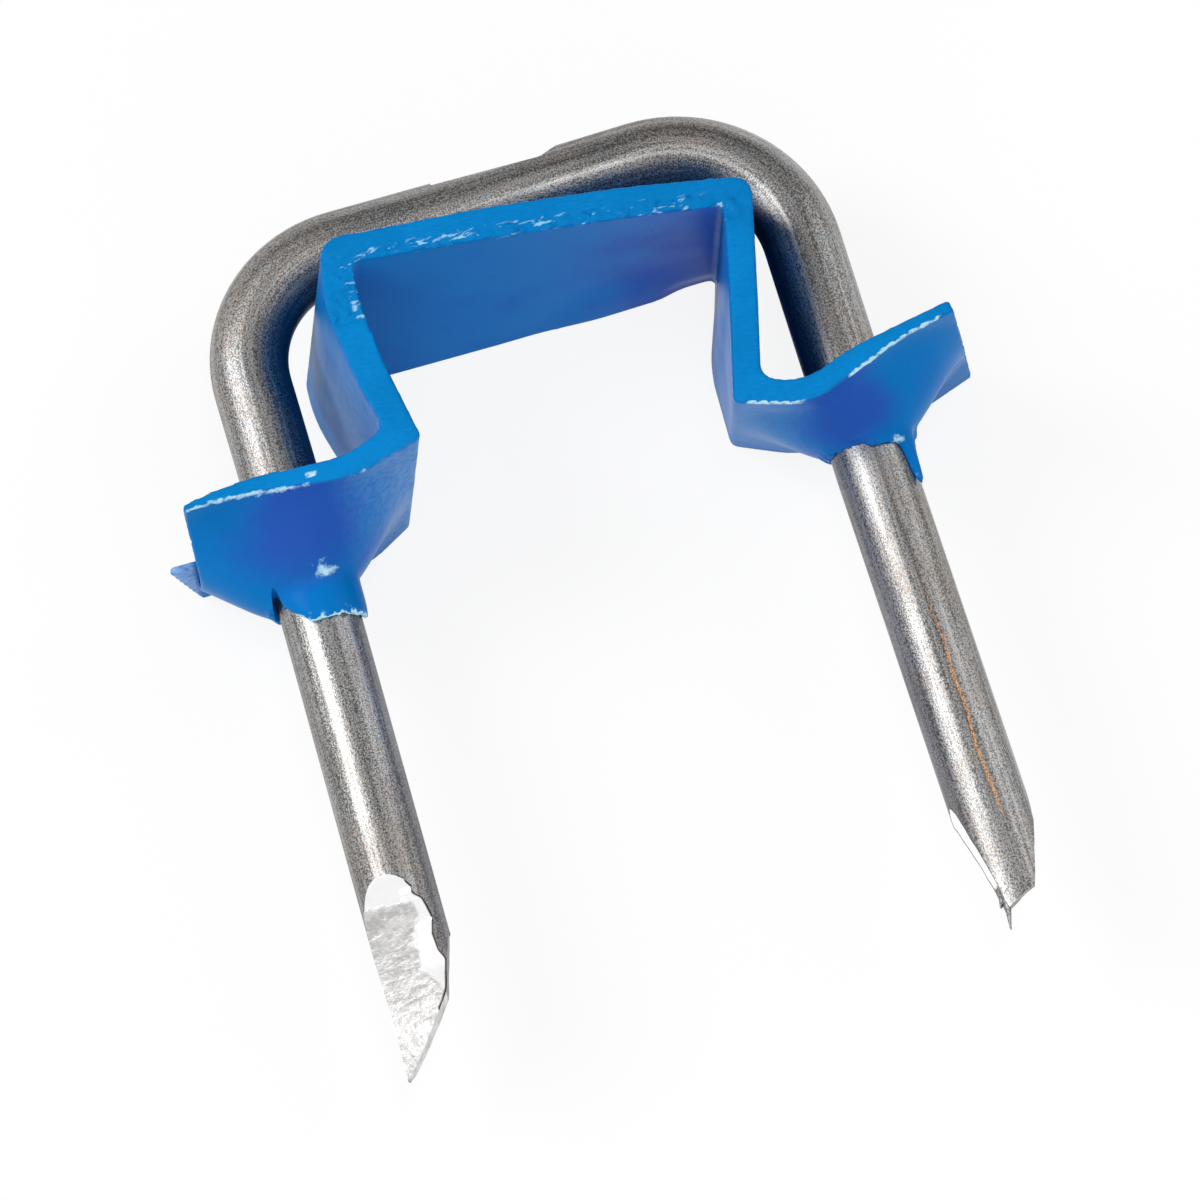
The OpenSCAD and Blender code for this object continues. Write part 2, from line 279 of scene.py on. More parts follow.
def drop_fins(obj):
    """Split the faces to triangles and delete those that enclose nothing: pairs that lie back to
    back on the same corners, and flaps with an open edge"""
    edit(obj)
    bpy.ops.mesh.select_all(action="SELECT")
    bpy.ops.mesh.quads_convert_to_tris()
    mesh = bmesh.from_edit_mesh(obj.data)
    mesh.verts.index_update()
    uses = Counter(corners_of(face) for face in mesh.faces)
    tests = (lambda f: uses[corners_of(f)] > 1, lambda f: any(e.is_boundary for e in f.edges))
    for stray in tests:
        if any(stray(face) for face in bmesh.from_edit_mesh(obj.data).faces):
            pick(obj, "FACE", stray)
            bpy.ops.mesh.delete(type="FACE")
    leave_edit()


def cloud_pattern(name, size, depth):
    """A cloud pattern for displacing a surface"""
    pattern = bpy.data.textures.new(name, "CLOUDS")
    pattern.noise_scale = size
    pattern.noise_depth = depth
    pattern.noise_basis = "IMPROVED_PERLIN"
    return pattern


def smooth_below(obj, degrees):
    """Shade smooth, apart from the edges sharper than an angle"""
    make_active(obj)
    bpy.ops.object.shade_smooth_by_angle(angle=math.radians(degrees))


def roughen(obj, pattern, strength, direction, mid_level=0.5, group=""):
    """Displace a surface, or one group of its vertices, by a pattern"""
    apply_modifier(
        obj, "DISPLACE", texture=pattern, strength=strength, mid_level=mid_level,
        direction=direction, texture_coords="LOCAL", vertex_group=group,
    )


def places_of(obj):
    """The places and normals of an object's vertices"""
    count = len(obj.data.vertices)
    place = np.empty(count * 3)
    obj.data.vertices.foreach_get("co", place)
    normal = np.empty(count * 3, dtype=np.float32)
    obj.data.vertex_normals.foreach_get("vector", normal)
    return place.reshape(-1, 3), normal.reshape(-1, 3)


def store(obj, name, values):
    """Keep one number for each vertex, for the materials"""
    layer = obj.data.attributes.new(name, "FLOAT", "POINT")
    layer.data.foreach_set("value", np.asarray(values, dtype=np.float32))


# Material helpers


class NodeSheet:
    """Places and joins the nodes of one material"""

    column, row, rows = 200, 220, 5

    def __init__(self, name):
        self.material = bpy.data.materials.new(name)
        self.material.use_nodes = True
        self.tree = self.material.node_tree
        self.tree.nodes.clear()
        self.count = 0

    def add(self, kind, inputs=None, **values):
        """Add a node, set its values and fill or join its inputs"""
        made = self.tree.nodes.new(kind)
        over, down = divmod(self.count, self.rows)
        made.location = (self.column * over, -self.row * down)
        self.count += 1
        for key, value in values.items():
            setattr(made, key, value)
        for key, value in (inputs or {}).items():
            self.fill(made.inputs[key], value)
        return made

    def fill(self, socket, value):
        """Join a socket to an output, or give it a constant"""
        if isinstance(value, bpy.types.NodeSocket):
            self.tree.links.new(value, socket)
        elif hasattr(value, "__len__") and len(value) == 3 and socket.type == "RGBA":
            socket.default_value = (*value, 1)
        else:
            socket.default_value = value

    def noise(self, vector, scale, detail=2.0, rough=0.5, distortion=0.0):
        """A noise pattern's value"""
        inputs = {
            "Vector": vector, "Scale": scale, "Detail": detail, "Roughness": rough,
            "Distortion": distortion,
        }
        return self.add("ShaderNodeTexNoise", inputs).outputs["Fac"]

    def mapped(self, vector, scale):
        """Coordinates scaled along each axis"""
        return self.add("ShaderNodeMapping", {"Vector": vector, "Scale": scale}).outputs["Vector"]

    def ramp(self, value, low, high, start=0.0, end=1.0):
        """Remap a value smoothly between two limits, clamped"""
        inputs = {"Value": value, "From Min": low, "From Max": high, "To Min": start, "To Max": end}
        made = self.add("ShaderNodeMapRange", inputs, interpolation_type="SMOOTHSTEP")
        return made.outputs["Result"]

    def math(self, kind, first, second=0.0):
        """The result of one sum"""
        return self.add("ShaderNodeMath", {0: first, 1: second}, operation=kind).outputs[0]

    def plus(self, first, second):
        """Two values added"""
        return self.math("ADD", first, second)

    def minus(self, first, second):
        """The second value taken from the first"""
        return self.math("SUBTRACT", first, second)

    def times(self, first, second):
        """Two values multiplied"""
        return self.math("MULTIPLY", first, second)

    def blend(self, factor, first, second, kind="MIX"):
        """Mix two colours, on the mix node's sockets for colours"""
        inputs = {0: factor, 6: first, 7: second}
        made = self.add("ShaderNodeMix", inputs, data_type="RGBA", blend_type=kind)
        return made.outputs[2]

    def split(self, vector):
        """The three parts of a vector"""
        return self.add("ShaderNodeSeparateXYZ", {"Vector": vector}).outputs[:]

    def bump(self, height, strength, distance):
        """A bump normal"""
        inputs = {"Height": height, "Strength": strength, "Distance": distance}
        return self.add("ShaderNodeBump", inputs).outputs["Normal"]

    def stored(self, name, part="Fac"):
        """A value or vector stored on the mesh"""
        return self.add("ShaderNodeAttribute", attribute_name=name).outputs[part]

    def finish(self, shader):
        """Join the shader to the output"""
        out = self.add("ShaderNodeOutputMaterial")
        self.tree.links.new(shader, out.inputs["Surface"])
        return self.material

    def surface(self, base, rough, normal, plain):
        """Finish with a principled shader: three patterns, and plain values on its own sockets"""
        inputs = {"Base Color": base, "Roughness": rough, "Normal": normal, **plain}
        return self.finish(self.add("ShaderNodeBsdfPrincipled", inputs).outputs[0])


def shade_of(shade, share):
    """A colour made darker or lighter, up to white"""
    return tuple(min(1.0, share * c) for c in shade)


def drawn_steel(finish, total):
    """Dull galvanised wire: a fine grain with streaks along the draw, and one copper streak.
    Painted shade and a painted blue reflection darken the legs' inner side between the lips and the
    crown.
    The total is the wire's length in millimetres, at the right point."""
    sheet = NodeSheet("drawn_steel")
    drawn = sheet.stored("drawn", "Vector")
    along, across, _ = sheet.split(drawn)
    grain = sheet.noise(drawn, 20.0, 1.0, 0.6)
    streak = sheet.noise(sheet.mapped(drawn, (0.1, 4.0, 4.0)), 1.5, 3.0, 0.6)
    cloud = sheet.noise(drawn, 0.5, 2.0, 0.5)
    tone = sheet.plus(sheet.times(grain, 0.6), sheet.times(streak, 0.4))
    level = sheet.ramp(tone, 0.36, 0.64)
    base = sheet.blend(level, shade_of(finish.steel, 0.4), shade_of(finish.steel, 1.75))
    warm = sheet.blend(sheet.ramp(cloud, 0.35, 0.65), WHITE, WARM)
    base = sheet.blend(1.0, base, warm, "MULTIPLY")
    hue = sheet.noise(sheet.mapped(drawn, (0.6, 1, 1)), 9.0, 2.0, 0.6)
    hue = sheet.blend(sheet.ramp(hue, 0.35, 0.65), WARM, COOL)
    base = sheet.blend(1.0, base, hue, "MULTIPLY")

    run = sheet.minus(total, along)
    nearer = sheet.math("MINIMUM", along, run)
    # Painted shade and painted blue reflection: the legs' inner side darkened to a blued tone
    # between the lips and the crown
    above_lips = sheet.ramp(nearer, 14.0, 16.5, 0.35, 0.9)
    below_crown = sheet.ramp(nearer, 22.0, 27.0, 1.0, 0.2)
    inner = sheet.ramp(across, -1.1, -0.5, 1.0, 0.0)
    painted_flank_shade = sheet.times(inner, sheet.times(above_lips, below_crown))
    base = sheet.blend(painted_flank_shade, base, finish.steel_painted_shade)

    wander = sheet.times(sheet.noise(sheet.mapped(drawn, (0.5, 0, 0)), 1.0, 2.0), 0.3)
    aside = sheet.math("ABSOLUTE", sheet.minus(across, wander))
    line = sheet.ramp(aside, 0.02, 0.075, 1.0, 0.0)
    window = sheet.times(sheet.ramp(run, 1.9, 3.2), sheet.ramp(run, 6.5, 10.4, 1.0, 0.0))
    copper = sheet.times(sheet.times(line, window), sheet.ramp(grain, 0.4, 0.56, 0.2, 1.0))
    base = sheet.blend(copper, base, finish.copper)
    rough = sheet.ramp(sheet.plus(cloud, sheet.times(grain, 0.8)), 0.5, 1.2, 0.32, 0.5)
    normal = sheet.bump(tone, 0.4, 0.03 * MM)
    return sheet.surface(base, rough, normal, {"Metallic": 1.0})


def sheared_steel(finish):
    """Bright metal of the points: burnished by the blade at the heel, torn below it, with painted
    shade along the edges and folds of the sheared faces
    """
    sheet = NodeSheet("sheared_steel")
    drawn = sheet.stored("drawn", "Vector")
    burnished = sheet.stored("burnished")
    wavy = sheet.noise(sheet.mapped(drawn, (3.0, 0.8, 0.8)), 1.4, 3.0, 0.6, 0.6)
    grain = sheet.noise(drawn, 7.0, 3.0, 0.65)
    tone = sheet.plus(sheet.times(wavy, 0.6), sheet.times(grain, 0.4))
    level = sheet.ramp(tone, 0.38, 0.6)
    base = sheet.blend(level, shade_of(finish.sheared, 0.54), shade_of(finish.sheared, 0.8))
    base = sheet.blend(burnished, base, WHITE)
    # Painted shade: the edges and folds of the sheared faces darkened
    rim = sheet.ramp(sheet.stored("shear_rim_shade"), 0.55, 0.85)
    base = sheet.blend(rim, base, finish.shear_rim_shade)
    rough = sheet.ramp(burnished, 0.0, 1.0, 0.42, 0.26)
    height = sheet.times(tone, sheet.ramp(burnished, 0.0, 1.0, 1.0, 0.15))
    normal = sheet.bump(height, 0.7, 0.09 * MM)
    return sheet.surface(base, rough, normal, {"Metallic": 0.3})


def blue_plastic(finish):
    """Polyethylene with sawn faces, whitened burrs and wear, with painted highlights, painted
    violet shade and painted sheen
    """
    sheet = NodeSheet("blue_plastic")
    place = sheet.mapped(sheet.add("ShaderNodeTexCoord").outputs["Object"], (1000, 1000, 1000))
    stored = ("cut_face", "burr_and_highlight", "violet_painted_shade", "wear_and_sheen", "torn_face")
    cut, burr_and_highlight, drawn, wear_and_sheen, torn = [sheet.stored(name) for name in stored]
    cloud = sheet.noise(place, 0.4, 3.0, 0.55)
    fine = sheet.noise(place, 5.0, 3.0, 0.6)
    speck = sheet.ramp(sheet.noise(place, 11.0, 1.0, 0.5), 0.68, 0.76)
    # Painted shade: violet blue around the lips, inside the channel's top and in random clouds;
    # drawn holds that painted shade here
    shade = sheet.plus(sheet.times(drawn, 0.55), sheet.times(cloud, 0.9))
    skin = sheet.blend(sheet.ramp(shade, 0.4, 1.0, 0.0, 0.85), finish.blue, finish.blue_painted_shade)
    # Wear with painted sheen: paler skin at the mouths, the left wall and the tail
    wear_sheen_share = sheet.times(wear_and_sheen, sheet.ramp(fine, 0.3, 0.65, 0.15, 0.5))
    skin = sheet.blend(wear_sheen_share, skin, finish.blue_worn_and_sheen)
    scratch = sheet.noise(sheet.mapped(place, (1.2, 5.0, 5.0)), 3.0, 3.0, 0.65)
    mottle = sheet.plus(sheet.times(scratch, 0.5), sheet.times(cloud, 0.5))
    pale_cut = shade_of(finish.blue_cut, 1.2)
    sawn = sheet.blend(sheet.ramp(mottle, 0.4, 0.62), finish.blue_cut, pale_cut)
    base = sheet.blend(cut, skin, sawn)
    # Painted highlights: pale glints on the torn front of the channel's top
    nick = sheet.noise(sheet.mapped(place, (0.9, 3.2, 3.2)), 1.7, 2.0, 0.6, 0.5)
    glint = sheet.times(sheet.ramp(nick, 0.57, 0.66), torn)
    base = sheet.blend(sheet.times(glint, 0.6), base, finish.blue_burr_and_glint)
    # Whitened burrs, with painted highlights along edges, on the lip rims and in spots
    ragged = sheet.ramp(sheet.plus(burr_and_highlight, sheet.times(fine, 0.8)), 0.85, 1.15)
    base = sheet.blend(ragged, base, finish.blue_burr_and_glint)
    rough = sheet.ramp(sheet.plus(cloud, sheet.times(cut, 0.5)), 0.3, 1.1, 0.27, 0.5)
    relief = sheet.plus(sheet.times(fine, 0.35), sheet.times(scratch, cut))
    relief = sheet.minus(relief, sheet.times(speck, 0.5))
    normal = sheet.bump(relief, 0.2, 0.05 * MM)
    return sheet.surface(base, rough, normal, {"IOR": 1.5, "Specular IOR Level": 0.02})


# Wire


def wire_run(wire):
    """Lengths of the wire's straight and bent runs, from the left point to the right one"""
    leg = wire.leg_pitch / 2
    mark = wire.mark_length / 2
    lower = (wire.reach - wire.splay_drop) / math.cos(wire.splay)
    rising = leg - wire.right_bend + mark
    return {
        "left_lower": lower,
        "left_upper": wire.splay_drop - wire.left_bend,
        "left_arc": wire.left_bend * math.pi / 2,
        "left_crown": leg - wire.left_bend - mark,
        "right_crown": rising / math.cos(wire.bow),
        "right_arc": wire.right_bend * math.pi / 2,
        "right_upper": wire.splay_drop - wire.right_bend + rising * math.tan(wire.bow),
        "right_lower": lower,
    }


def quarter_bend(x, y):
    """Spin the end of the path a quarter turn about a place"""
    bpy.ops.mesh.spin(steps=48, angle=math.pi / 2, axis=(0, 0, 1), center=(x, y, MID_Z))


def staple_path(wire, runs):
    """The bent middle line of the wire, as a curve"""
    crown_y = TOP_Y - wire.diameter / 2
    leg = wire.leg_pitch / 2
    splay_y = crown_y - wire.splay_drop
    out = math.sin(wire.splay) * runs["left_lower"]
    down = math.cos(wire.splay) * runs["left_lower"]
    start = (-leg - out, splay_y - down, MID_Z)
    bend_start = (-leg, crown_y - wire.left_bend, MID_Z)
    path = draw_chain("staple_path", [start, (-leg, splay_y, MID_Z), bend_start])
    quarter_bend(-leg + wire.left_bend, crown_y - wire.left_bend)
    rise = runs["right_crown"] * math.sin(wire.bow)
    across = runs["right_crown"] * math.cos(wire.bow)
    extrude_by((runs["left_crown"], 0, 0))
    extrude_by((across, rise, 0))
    quarter_bend(leg - wire.right_bend, crown_y + rise - wire.right_bend)
    extrude_by((0, -runs["right_upper"], 0))
    extrude_by((out, -down, 0))
    pick(path, "EDGE", lambda e: e.calc_length() > MM)
    bpy.ops.mesh.subdivide(number_cuts=24)
    leave_edit()
    make_active(path)
    bpy.ops.object.convert(target="CURVE")
    return bpy.context.object


def straight_wire(wire, total):
    """The drawn wire before it is bent, along X"""
    rod = primitive(
        bpy.ops.mesh.primitive_cylinder_add, "staple_wire", vertices=96, radius=wire.diameter / 2,
        depth=total, location=(total / 2, 0, 0), rotation=(0, math.pi / 2, 0), end_fill_type="NGON",
    )
    for _ in range(2):
        edit(rod)
        pick(rod, "EDGE", lambda e: abs(e.verts[0].co.x - e.verts[1].co.x) > 0.5 * MM)
        bpy.ops.mesh.subdivide(number_cuts=15)
        leave_edit()
    return rod


def press_mark(wire, middle):
    """The block that presses a flat into the crown, with a run-out towards the right"""
    run_out = MM / math.tan(math.radians(20))
    left_rise = 0.13 * MM
    edge_radius = 0.06 * MM
    foot = wire.diameter / 2 - wire.mark_depth
    block = primitive(
        bpy.ops.mesh.primitive_cube_add, "press_mark", (wire.mark_length, MM, 4 * MM), size=1,
        location=(middle, foot + MM / 2, 0),
    )
    edit(block)
    pick(block, "VERT", lambda v: v.co.x > middle and v.co.y > foot + 0.5 * MM)
    bpy.ops.transform.translate(value=(run_out, 0, 0))
    pick(block, "VERT", lambda v: v.co.x < middle and v.co.y < foot + 0.5 * MM)
    bpy.ops.transform.translate(value=(0, left_rise, 0))
    pick(block, "EDGE", lambda e: all(v.co.y < foot + 0.1 * MM for v in e.verts)
         and abs(e.verts[0].co.z - e.verts[1].co.z) > MM)
    bpy.ops.mesh.bevel(offset=edge_radius, segments=3, affect="EDGES")
    leave_edit()
    block.data.transform(Matrix.Rotation(wire.mark_turn, 4, "X"))
    return block


# The shear cuts, with runs from the point in millimetres. First, where across the leg the zone that
# the blade rubbed begins; then how much each hollow leans, and how steeply the rubbed side rises.
HEEL = ((2.0, 2.6, 3.2, 3.7, 4.2, 4.8, 5.0), (-0.75, -0.3, -0.12, -0.02, -0.3, -0.4, 1.2))
LEFT_LEAN = ((0, 3, 5.7), (0.25, 0.3, 0.34))
LEFT_WALL = ((2.2, 2.8, 3.2, 3.7, 4.2, 4.8, 5.2), (0, 0.6, 1.0, 0.7, 0.3, 0.15, 0))
RIGHT_LEAN = ((0, 6), (-0.5, -0.5))
RIGHT_TOE = -0.72

# Bevels of the points: name, run from the point and place across in millimetres, turn in degrees,
# side that is cut away, lean in degrees
LEFT_BEVELS = (
    ("left_bevel", 0, 1.05, -37, -1, 0),
    ("left_shoulder", 0, 0.04, -16.8, -1, 0),
)
RIGHT_BEVELS = (
    ("right_inner", 0, -0.65, 8, -1, -10),
    ("right_outer", 0, 0.27, -17, 1, 0),
    ("right_end", -0.32, 0, -65, 1, 0),
)
KEEPS_SKIN = ("left_shoulder", "right_end")

# Burrs on the right point, in millimetres from it: name, foot, tip, width
BURRS = (
    ("right_spike", (-0.6, -0.42, 0.92), (0.5, -0.62, 0.85), 0.3),
    ("right_curl", (-0.7, -0.45, 0.75), (-0.22, -0.68, 0.7), 0.36),
)


def burnished_heel(run, side):
    """How far a place on the sheared face lies in the bright zone that the blade rubbed, 0 to 1.
    The run is from the point, the side is towards the leg's outer side, both in millimetres."""
    coarse = 0.16 * noise.noise((2.2 * run, 2.2 * side, 4.0))
    ragged = coarse + 0.07 * noise.noise((7 * run, 7 * side, 1.0))
    soft_edge = 0.08
    return min(1.0, max(0.0, (np.interp(run, *HEEL) + ragged - side) / soft_edge + 0.5))


def hollow_cutter(wire, name, toe, side, lean, wall=((0, 6), (0, 0))):
    """The shear blade's cut: a rough hollow face from heel to toe, closed above it.
    It is drawn for a point at X = 0 and for a hollow that faces +Z or -Z. The lean is how much
    lower it lies towards +Y, and the wall how steeply its rubbed side rises.
    A hollow that faces -Z leans on its +Y half only."""
    long, wide, tall = 1.5 * wire.shear_length, 3.2 * MM, 6 * MM
    ledge, tear_depth = 0.07 * MM, 0.09 * MM
    heel = Vector((wire.shear_length, 0, side * wire.diameter / 2))
    tip = Vector((0, 0, side * toe))
    chord = heel - tip
    across = Vector((chord.z, 0, -chord.x)).normalized()
    if across.z * side < 0:
        across = -across
    rise = math.sqrt(wire.shear_radius ** 2 - chord.length_squared / 4)
    centre = (heel + tip) / 2 + across * rise
    sheet = primitive(
        bpy.ops.mesh.primitive_grid_add, name, (long, wide, 1), x_subdivisions=150,
        y_subdivisions=70, size=1,
    )
    for vertex in sheet.data.vertices:
        vertex.co.x += wire.shear_length * 0.5
        beside = vertex.co.y
        run = vertex.co.x - centre.x
        drop = math.sqrt(max(0.0, wire.shear_radius ** 2 - run * run))
        place = vertex.co.x / MM
        step = ledge * burnished_heel(place, beside / MM)
        tilt = np.interp(place, *lean) * (beside if side > 0 else max(0.0, beside))
        rubbed = max(0.0, np.interp(place, *HEEL) * MM - beside) if beside < 0 else 0.0
        tilt -= np.interp(place, *wall) * rubbed
        vertex.co.z = centre.z - side * (drop - step + tilt)
    roughen(sheet, cloud_pattern(name + "_tear", 0.4 * MM, 3), tear_depth, "Z")
    edit(sheet)
    bpy.ops.mesh.select_all(action="SELECT")
    bpy.ops.mesh.extrude_region_move(TRANSFORM_OT_translate={"value": (0, 0, side * tall)})
    leave_edit()
    tidy_normals(sheet)
    return sheet


def bevel_cutter(point, name, run, across, degrees, side, lean):
    """A block that takes a bevel off a point, hinged on its cutting face, turned and leant up"""
    block_size, tear_depth = 8 * MM, 0.06 * MM
    x = point + run * MM
    y = across * MM
    middle = (x, y + side * block_size / 2, 0)
    block = primitive(bpy.ops.mesh.primitive_cube_add, name, size=block_size, location=middle)
    edit(block)
    bpy.ops.mesh.select_all(action="SELECT")
    bpy.ops.mesh.subdivide(number_cuts=48)
    leave_edit()
    hinge = Matrix.Translation((x, y, 0))
    swing = Matrix.Rotation(math.radians(degrees), 4, "Z")
    tip = Matrix.Rotation(math.radians(lean), 4, "X")
    block.data.transform(hinge @ swing @ tip @ hinge.inverted())
    roughen(block, cloud_pattern(name + "_tear", 0.5 * MM, 2), tear_depth, "NORMAL")
    return block


def torn_spike(name, foot, tip, width):
    """A thin burr that the blade drew out of a point"""
    run = tip - foot
    return primitive(
        bpy.ops.mesh.primitive_cone_add, name, vertices=16, radius1=width / 2,
        radius2=0.08 * width, depth=run.length, location=(foot + tip) / 2,
        rotation=run.to_track_quat("Z", "Y").to_euler(),
    )


def mark_shear_rims(rod, total):
    """Store where the sheared faces end or fold, for the painted shade along them, less on the left
    point's outer side
    """
    rim_width, crease = 0.2 * MM, 0.7
    outer_side, outer_share = -0.25 * MM, 0.62
    slots = [slot.material.name.startswith("sheared") for slot in rod.material_slots]
    place, _ = places_of(rod)
    border = set()
    sheared = set()
    mesh = bmesh.new()
    mesh.from_mesh(rod.data)
    for face in mesh.faces:
        if slots[face.material_index]:
            sheared.update(v.index for v in face.verts)
    for edge in mesh.edges:
        sides = [slots[face.material_index] for face in edge.link_faces]
        if len(sides) == 2:
            folded = all(sides) and edge.calc_face_angle() > crease
            if sides[0] != sides[1] or folded:
                border.update(v.index for v in edge.verts)
    mesh.free()
    tree = KDTree(len(border))
    for index in border:
        tree.insert(place[index], index)
    tree.balance()
    rim = np.zeros(len(place))
    for index in sheared:
        rim[index] = max(0.0, 1 - tree.find(place[index])[2] / rim_width)
    outer_left = (place[:, 0] < total / 2) * (place[:, 1] > outer_side)
    store(rod, "shear_rim_shade", rim * np.where(outer_left, outer_share, 1.0))


class STAPLE_OT_wire(Operator):
    """Draw the wire straight, press and shear it, and bend it to a staple"""

    bl_idname = "staple.wire"
    bl_label = "Steel wire"

    def execute(self, context):
        wire = context.scene.staple_wire
        finish = context.scene.staple_finish
        runs = wire_run(wire)
        total = sum(runs.values())
        end = total + wire.right_excess
        rod = straight_wire(wire, end)
        skin = drawn_steel(finish, total / MM)
        torn = sheared_steel(finish)
        rod.data.materials.append(skin)
        crown_middle = (
            runs["left_lower"] + runs["left_upper"] + runs["left_arc"] + runs["left_crown"]
            + wire.mark_length / 2
        )
        mark = press_mark(wire, crown_middle)
        mark.data.materials.append(skin)
        cut_with(rod, mark)

        cutters = [hollow_cutter(wire, "left_hollow", 0.0, 1, LEFT_LEAN, LEFT_WALL)]
        cutters += [bevel_cutter(0, *row) for row in LEFT_BEVELS]
        toe = RIGHT_TOE * wire.diameter / 2
        right = hollow_cutter(wire, "right_hollow", toe, -1, RIGHT_LEAN)
        right.data.transform(Matrix.Translation((end, 0, 0)) @ Matrix.Rotation(math.pi, 4, "Z"))
        cutters.append(right)
        cutters += [bevel_cutter(end, *row) for row in RIGHT_BEVELS]
        for cutter in cutters:
            cutter.data.materials.append(skin if cutter.name in KEEPS_SKIN else torn)
            cut_with(rod, cutter)
        point = Vector((end, 0, 0))
        for name, foot, tip, width in BURRS:
            ends = [point + Vector(place) * MM for place in (foot, tip)]
            spike = torn_spike(name, *ends, width * MM)
            spike.data.materials.append(skin)
            cut_with(rod, spike, "UNION")

        places, _ = places_of(rod)
        drawn = rod.data.attributes.new("drawn", "FLOAT_VECTOR", "POINT")
        drawn.data.foreach_set("vector", places.ravel() / MM)
        store(rod, "burnished", [burnished_heel(x / MM, y / MM) for x, y, _ in places])
        mark_shear_rims(rod, total)
        path = staple_path(wire, runs)
        apply_modifier(rod, "CURVE", object=path, deform_axis="POS_X")
        bpy.data.objects.remove(path)
        tidy_normals(rod)
        drop_fins(rod)
        smooth_below(rod, WIRE_CREASE)
        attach(rod, "root")
        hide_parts("wire_staple")
        return {"FINISHED"}


# Saddle


# Joints of the strip's middle line, from the left end to the right one, in millimetres from the
# middle of the crown: place at the front edge, place at the rear edge, wall thickness
STRIP_JOINTS = (
    ("left_end", (-11.33, -7.92), (-11.36, -7.72), 0.2),
    ("left_hump", (-9.7, -7.71), (-9.95, -7.95), 0.42),
    ("left_leg", (-8.2, -7.8), (-8.3, -8.1), 0.6),
    ("left_sag", (-6.6, -8.08), (-6.5, -7.95), 0.7),
    ("left_mouth", (-4.7, -7.5), (-5.3, -7.2), 0.85),
    ("left_wall", (-5.12, -5.3), (-5.85, -4.8), 0.98),
    ("left_bulge", (-5.3, -3.1), (-6.2, -3.4), 0.98),
    ("left_top", (-5.05, -1.55), (-6.2, -2.3), 0.85),
    ("top_middle", (-0.8, -1.95), (-0.2, -2.25), 0.96),
    ("top_wave", (3.4, -2.52), (4.4, -2.12), 0.95),
    ("right_top", (6.55, -3.1), (6.5, -2.3), 0.85),
    ("right_wall", (5.9, -5.9), (5.35, -5.4), 0.82),
    ("right_mouth", (5.08, -9.08), (5.3, -7.5), 0.82),
    ("right_sag", (6.75, -9.66), (6.8, -8.25), 0.7),
    ("right_leg", (8.3, -9.02), (8.4, -8.35), 0.7),
    ("right_rise", (9.6, -8.62), (10.4, -8.15), 0.42),
    ("right_end", (11.4, -8.27), (12.25, -7.52), 0.37),
)


def strip_side(joints, walls, side):
    """One side of the strip: each joint moved half the wall across its fold"""
    points = []
    for i, joint in enumerate(joints):
        before = (joint - joints[i - 1]).normalized() if i else None
        after = (joints[i + 1] - joint).normalized() if i < len(joints) - 1 else None
        into = Vector((-before.y, before.x)) if before else Vector((-after.y, after.x))
        away = Vector((-after.y, after.x)) if after else into
        mid = (into + away).normalized()
        points.append(joint + mid * side * walls[i] / 2 / mid.dot(into))
    return points


def strip_outline(edge):
    """The corners of the strip's outline at its front (1) or rear (2) edge"""
    joints = [Vector(row[edge]) for row in STRIP_JOINTS]
    walls = [row[3] for row in STRIP_JOINTS]
    loop = strip_side(joints, walls, -1) + strip_side(joints, walls, 1)[::-1]
    height = SADDLE_HIGH.z if edge == 1 else SADDLE_LOW.z
    return [crown_place(p.x, p.y, height) for p in loop]


def crown_place(x, y, z):
    """A place given in millimetres from the middle of the crown, in metres"""
    return Vector((x * MM, TOP_Y - bpy.context.scene.staple_wire.diameter / 2 + y * MM, z))


def folded_strip(saddle):
    """The strip as folded: the front outline is extruded to the rear and twisted, then rounded"""
    front = strip_outline(1)
    rear = strip_outline(2)
    strip = draw_chain("insulating_strip", front)
    bpy.ops.mesh.select_all(action="SELECT")
    bpy.ops.mesh.edge_face_add()
    bpy.ops.mesh.extrude_region_move(TRANSFORM_OT_translate={"value": (0, 0, -SADDLE_DEPTH)})
    back = Vector((0, 0, -SADDLE_DEPTH))
    for here, there in zip(front, rear):
        pick(strip, "VERT", lambda v: near(v.co, here + back))
        bpy.ops.transform.translate(value=there - here - back)
    count = len(STRIP_JOINTS)
    names = [row[0] for row in STRIP_JOINTS]
    cable_side = {name: i for i, name in enumerate(names)}
    crown_side = {name: 2 * count - 1 - i for i, name in enumerate(names)}
    tops = ("left_top", "right_top")
    mouths = ("left_mouth", "right_mouth")
    bends = [n for n in names if n not in tops + mouths and not n.endswith("_end")]
    bend_round = 0.6 * MM
    rounds = [
        ([crown_side[n] for n in tops], saddle.top_outer, 5),
        ([crown_side[n] for n in mouths], saddle.mouth_outer, 5),
        ([cable_side[n] for n in tops + mouths], saddle.inner, 3),
        ([side[n] for n in bends for side in (cable_side, crown_side)], bend_round, 4),
    ]
    for corners, reach, steps in rounds:
        ends = [(front[i], rear[i]) for i in corners]
        pick(strip, "EDGE", lambda e: any(
            (near(e.verts[0].co, a) and near(e.verts[1].co, b))
            or (near(e.verts[1].co, a) and near(e.verts[0].co, b)) for a, b in ends))
        bpy.ops.mesh.bevel(offset=reach, segments=steps, affect="EDGES", profile=0.5)
    leave_edit()
    tidy_normals(strip)
    return strip


def refine(obj, limit):
    """Halve edges until none is longer than a limit"""
    edit(obj)
    while any(e.calc_length() > limit for e in bmesh.from_edit_mesh(obj.data).edges):
        pick(obj, "EDGE", lambda e: e.calc_length() > limit)
        bpy.ops.mesh.subdivide(number_cuts=1)
    leave_edit()


